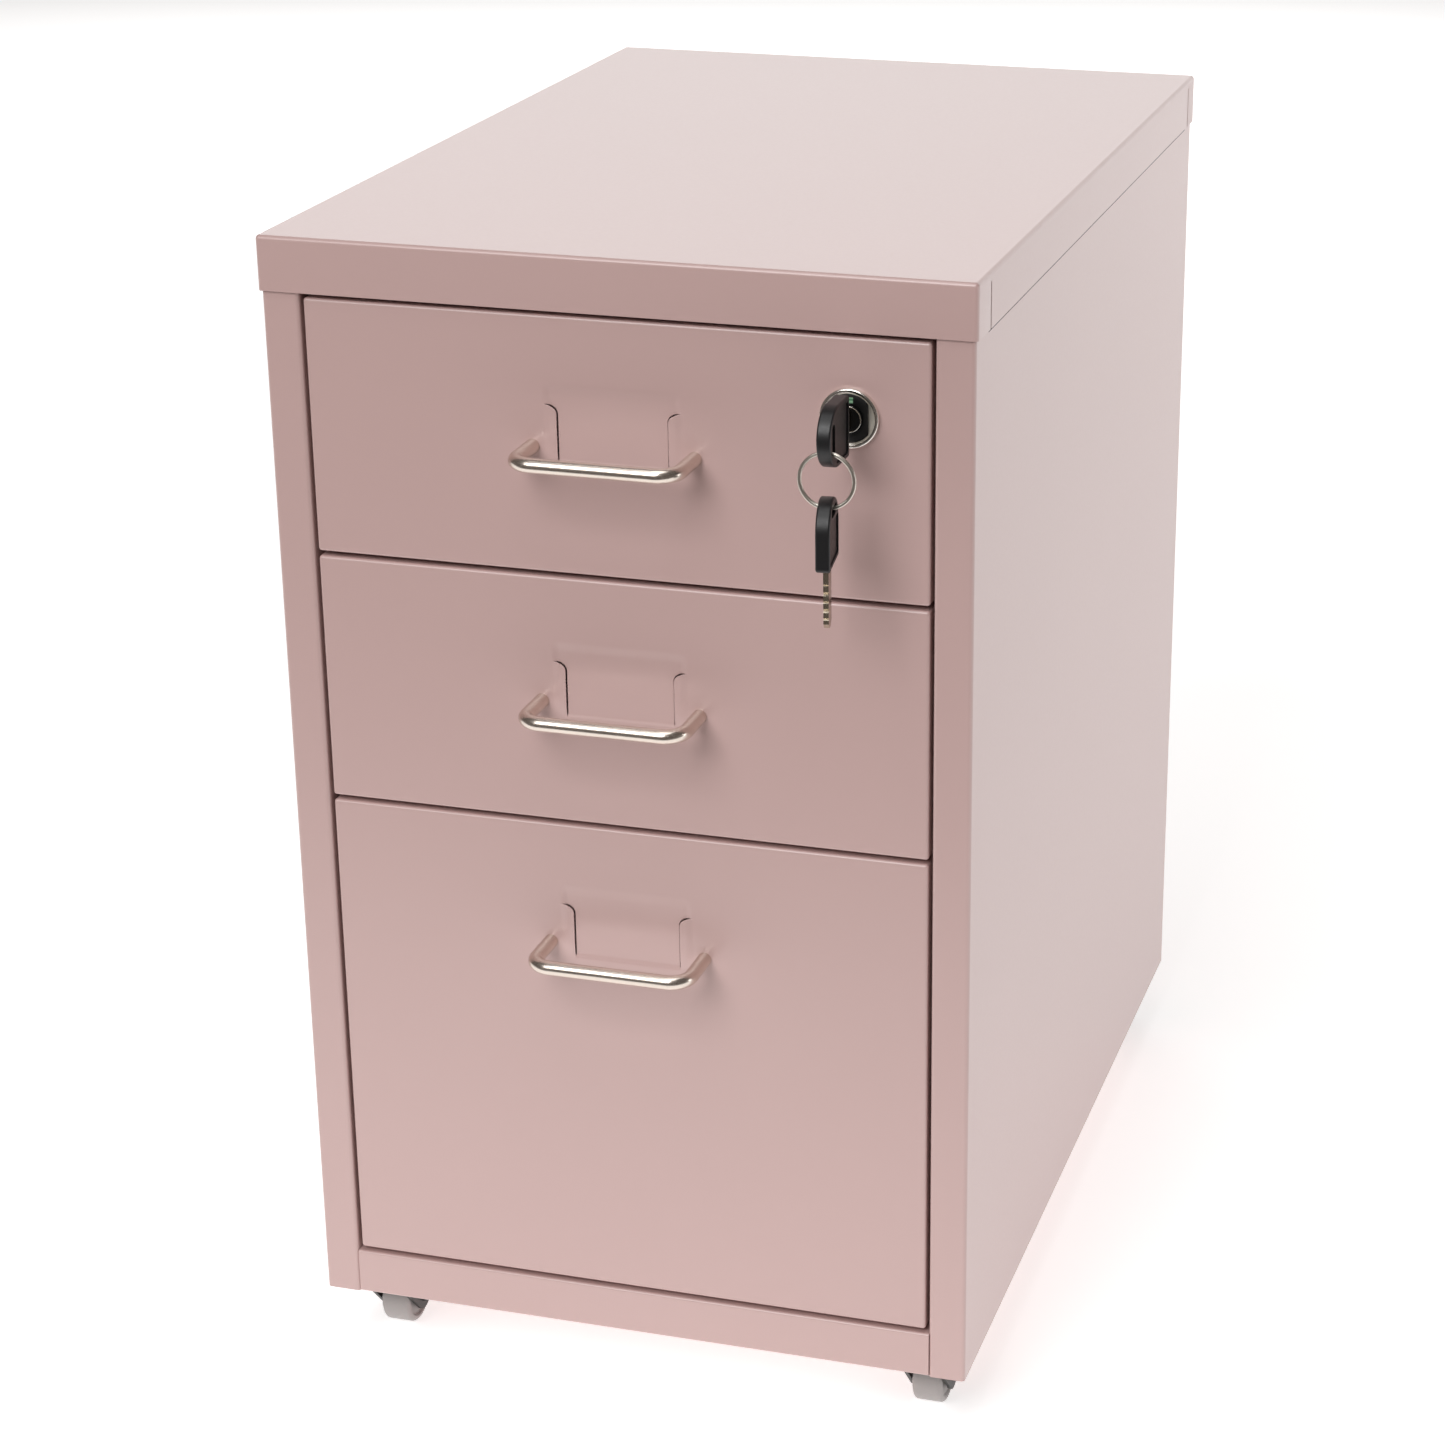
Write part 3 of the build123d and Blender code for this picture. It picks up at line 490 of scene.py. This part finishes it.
handle_nickel = satin_nickel("satin_nickel", "dbd0c6", 0.25)
handle_bend = 0.008
rod = 0.0029
for number in (1, 2, 3):
    low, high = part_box(f"drawer_{number}_handle")
    z = (low.z + high.z) / 2
    half, reach = high.x - rod, low.y + rod
    turn = np.linspace(0, math.pi / 2, 17)
    bend_x = half - handle_bend + handle_bend * np.cos(turn)
    bend_y = reach + handle_bend - handle_bend * np.sin(turn)
    post_y = np.linspace(high.y, reach + handle_bend, 8)[:-1]
    one = np.concatenate([np.c_[np.full(7, half), post_y], np.c_[bend_x, bend_y],
                          [[half / 2, reach], [0.0, reach]]])
    flat = np.concatenate([one, (one * [-1, 1])[-2::-1]])
    path = np.c_[flat, np.full(len(flat), z)]
    up = np.broadcast_to([0.0, 0.0, 1.0], path.shape)
    points, faces = capped(tube(path, up, (rod, rod)))
    make(f"handle_{number}", points, faces, handle_nickel, f"drawer_{number}",
         [f"drawer_{number}_handle"])

# ------------------------------------------------------------------ lock
# A cam lock: polished ring with a dished wall, black body with two upright flats, and a plug with
# a thin bright rim that stands proud. A nut and a flat zinc-plated cam are behind the front.


def turned(centre, axis, start, radii, heights, around=96):
    """Turned form: centre + radii(i, a) (cos a start + sin a (axis x start)) + heights(i) axis."""
    axis, start = np.array(axis, float), np.array(start, float)
    a = np.linspace(0, 2 * math.pi, around, endpoint=False)
    rows = len(heights)
    radii = np.broadcast_to(np.asarray(radii, float).reshape(rows, -1), (rows, around))
    ring = np.cos(a)[:, None] * start + np.sin(a)[:, None] * np.cross(axis, start)
    points = np.array(centre) + radii[..., None] * ring + np.asarray(heights)[:, None, None] * axis
    return points, grid_faces(rows, around, closed=True)


def chrome(name):
    """Polished chrome: faint turning marks, 0.3 mm of noise, in the roughness alone."""
    material, shader, coords = surface(name)
    noise = add(material, "TexNoise", {"Vector": coords, "Scale": 3000.0, "Detail": 2.0})
    rough = add(material, "MapRange", {"Value": noise.outputs["Fac"], "To Min": 0.14,
                                       "To Max": 0.22})
    set_shader(material, shader, {"Base Color": linear("e6e2dc"), "Metallic": 1.0,
                                  "Roughness": rough.outputs["Result"]})
    return material


polished_chrome = chrome("polished_chrome")
black_lock = moulded("black_enamelled_zinc", "131313", 0.32)
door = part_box("drawer_1_front")[0].y
low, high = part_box("lock_trim_ring")
axis_x, axis_z = (low.x + high.x) / 2, (low.z + high.z) / 2
at_face = (axis_x, door, axis_z)
out_of_door, rightwards = (0, -1, 0), (1, 0, 0)
ring_r = (high.x - low.x) / 2
around = 144
angle = np.linspace(0, 2 * math.pi, around, endpoint=False)
body_outline = np.minimum(0.0092, 0.007 / np.maximum(np.abs(np.cos(angle)), 1e-9))
turn = np.linspace(0, math.pi / 2, 7)
lip, lip_top = 0.0006, 0.0023              # lip's outer rounding, and how far it stands out
lip_inner, lip_back = 0.0101, 0.0099       # lip's inner edge, and where its wall goes back
soft, fall = 0.0002, 0.0003                # rounding of that inner edge
ring_rows = [ring_r, *(ring_r - lip + lip * np.cos(turn)), lip_inner + soft,
             *(lip_inner - soft * np.sin(turn)), lip_back, ring_r]
ring_radii = np.stack([np.broadcast_to(r, (around,)) for r in ring_rows])
ring_heights = np.concatenate([[0], lip_top - lip + lip * np.sin(turn), [lip_top],
                               lip_top - fall * (1 - np.cos(turn)), [0, 0]])
points, faces = turned(at_face, out_of_door, rightwards, ring_radii, ring_heights, around)
make("lock_ring", points, faces, polished_chrome, "drawer_1", ["lock_trim_ring"])

dish_top, dish_bend, dish_foot, dish_back = 0.0020, 0.00155, 0.0004, 0.0001
dish_inner = body_outline + 0.00005
dish_rows = [lip_back, 0.0093, dish_inner, dish_inner, lip_back, lip_back]
dish_radii = np.stack([np.broadcast_to(r, (around,)) for r in dish_rows])
dish_heights = np.array([dish_top, dish_bend, dish_foot, dish_back, dish_back, dish_top])
points, faces = turned(at_face, out_of_door, rightwards, dish_radii, dish_heights, around)
satin_dish = satin_nickel("satin_dish", "f2ece2", 0.55)
make("lock_dish", points, faces, satin_dish, "drawer_1")

bore_r = 0.00505
edge = 0.00035
body_top, body_back = 0.0011, -0.0206
body_rows = [bore_r, bore_r, bore_r + soft, body_outline - edge, body_outline - edge * 0.3,
             body_outline, body_outline, bore_r]
body_radii = np.stack([np.broadcast_to(r, (around,)) for r in body_rows])
body_heights = np.array([body_back, body_top - soft, body_top, body_top, body_top - edge * 0.3,
                         body_top - edge, body_back, body_back])
points, faces = turned(at_face, out_of_door, rightwards, body_radii, body_heights, around)
make("lock_body", points, faces, black_lock, "drawer_1", ["lock_housing"], sharp=40)

# ------------------------------------------------------------------ lock mark
# A small green index mark, printed in enamel paint on the black face above the plug, with a few
# darker bars across it. It stands no more than the thickness of the paint off the face.
mark_green, shader, coords = surface("green_index_paint")
bars = add(mark_green, "TexWave", {"Vector": coords, "Scale": 190.0, "Distortion": 0.3},
           bands_direction="Z")
bar_shade = add(mark_green, "Mix", {"Factor": bars.outputs["Fac"], "A": linear("47775a"),
                                "B": linear("9ac4a0")}, data_type="RGBA")
set_shader(mark_green, shader, {"Base Color": bar_shade.outputs["Result"], "Roughness": 0.4})
mark_wide, mark_tall, mark_lift = 0.0014, 0.0011, 0.0067
mark_x, mark_z = np.meshgrid([axis_x - mark_wide, axis_x + mark_wide],
                             [axis_z + mark_lift - mark_tall, axis_z + mark_lift + mark_tall])
mark = np.stack([mark_x, np.full((2, 2), door - 0.00112), mark_z], axis=-1)
make("lock_mark", mark, grid_faces(2, 2), mark_green, "drawer_1", thick=0.00004)

# ------------------------------------------------------------------ lock plug
# The turning plug keeps its CAD form with the upright keyway, black inside, and has a thin bright
# ring round its face. Nut and cam are behind the front.
dress(["lock_plug"], black_lock)
turn = np.linspace(0, 2 * math.pi, 13)[:-1]
rim_middle, rim_wide, rim_out, rim_tall = 0.0048, 0.0002, 0.0028, 0.00016
rim_around = 96
rim_radii = (rim_middle + rim_wide * np.cos(turn))[:, None]
points, faces = turned(at_face, out_of_door, rightwards, rim_radii,
                       rim_out + rim_tall * np.sin(turn), rim_around)
first = np.arange(rim_around)
last = first + rim_around * (len(turn) - 1)
closing = np.stack([first, np.roll(first, -1), np.roll(last, -1), last], axis=-1)
faces = np.concatenate([faces, closing])
make("plug_ring", points, faces, polished_chrome, "lock_plug")
dress(["lock_nut", "lock_cam", "lock_cam_screw"], zinc_steel)

# ------------------------------------------------------------------ keys
# Two flat keys with moulded black heads and nickel-plated blades cut on both edges. One is in the
# lock; the other hangs from it on the split ring.
key_black = moulded("key_black_plastic", "121214", 0.4)
key_nickel = satin_nickel("key_nickel", "b9ad9b", 0.24)
dress(["key_head", "spare_key_head"], key_black)
dress(["key_blade", "spare_key_blade"], key_nickel)

# ------------------------------------------------------------------ key ring
# A split ring: two turns of flattened nickel-plated wire side by side, with a step where one end
# tucks under the other, at the lower right.
low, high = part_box("key_ring")
ring_middle = np.array([(low.x + high.x) / 2, (low.y + high.y) / 2, (low.z + high.z) / 2])
wire_r = (high.y - low.y) / 2
loop_r = (high.x - low.x) / 2 - wire_r
turns = np.linspace(0, 2, 321)
angle = 2 * math.pi * turns - math.radians(40)
side_step = (smooth(0.93, 1.07, turns) - 0.5) * wire_r
spread = np.stack([np.cos(angle), np.zeros_like(angle), np.sin(angle)], axis=-1)
path = ring_middle + loop_r * spread + side_step[:, None] * np.array([0, 1, 0])
points, faces = capped(tube(path, spread, (wire_r * 0.93, wire_r * 0.48), 20))
ring_nickel = satin_nickel("ring_wire_nickel", "d8d2c8", 0.3)
make("split_ring", points, faces, ring_nickel, "key_ring", ["key_ring"], sharp=60)

# ------------------------------------------------------------------ casters
# Four swivel casters: zinc-plated plate and fork, and a moulded grey wheel with rounded shoulders,
# a sunk side and a small hub, turning on a riveted axle.
wheel_grey = moulded("moulded_grey_tread", "aaa4a2", 0.5, 700.0, 0.00002)
dark_zinc = zinc_plate("dark_zinc_steel", "504f4e", 0.45)
turn = np.linspace(0, math.pi / 2, 7)
for place in ("front_left", "front_right", "rear_left", "rear_right"):
    name = f"caster_{place}_wheel"
    low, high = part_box(name)
    tread_r = (high.z - low.z) / 2
    hub_half = (high.x - low.x) / 2
    half = hub_half - 0.0004
    shoulder = 0.0022
    right_r = np.concatenate([[0.00205, 0.0040, 0.0044, 0.0047, 0.0052, 0.0094, 0.0100],
                              tread_r - shoulder + shoulder * np.sin(turn)])
    right_x = np.concatenate([[hub_half, hub_half, hub_half - 0.0003, half - 0.0009, half - 0.0010,
                               half - 0.0010, half - 0.0001],
                              half - shoulder * 0.8 + shoulder * 0.8 * np.cos(turn)])
    radii = np.concatenate([right_r, right_r[::-1], right_r[:1]])
    across = np.concatenate([right_x, -right_x[::-1], right_x[:1]])
    middle = ((low.x + high.x) / 2, (low.y + high.y) / 2, (low.z + high.z) / 2)
    points, faces = turned(middle, (1, 0, 0), (0, 1, 0), radii[:, None], across, 96)
    make(f"wheel_{place}", points, faces, wheel_grey, name, [name], sharp=40)
    dress([f"caster_{place}_plate", f"caster_{place}_fork", f"caster_{place}_axle"], dark_zinc)
dress(["caster_kingpins", "caster_screws"], dark_zinc)
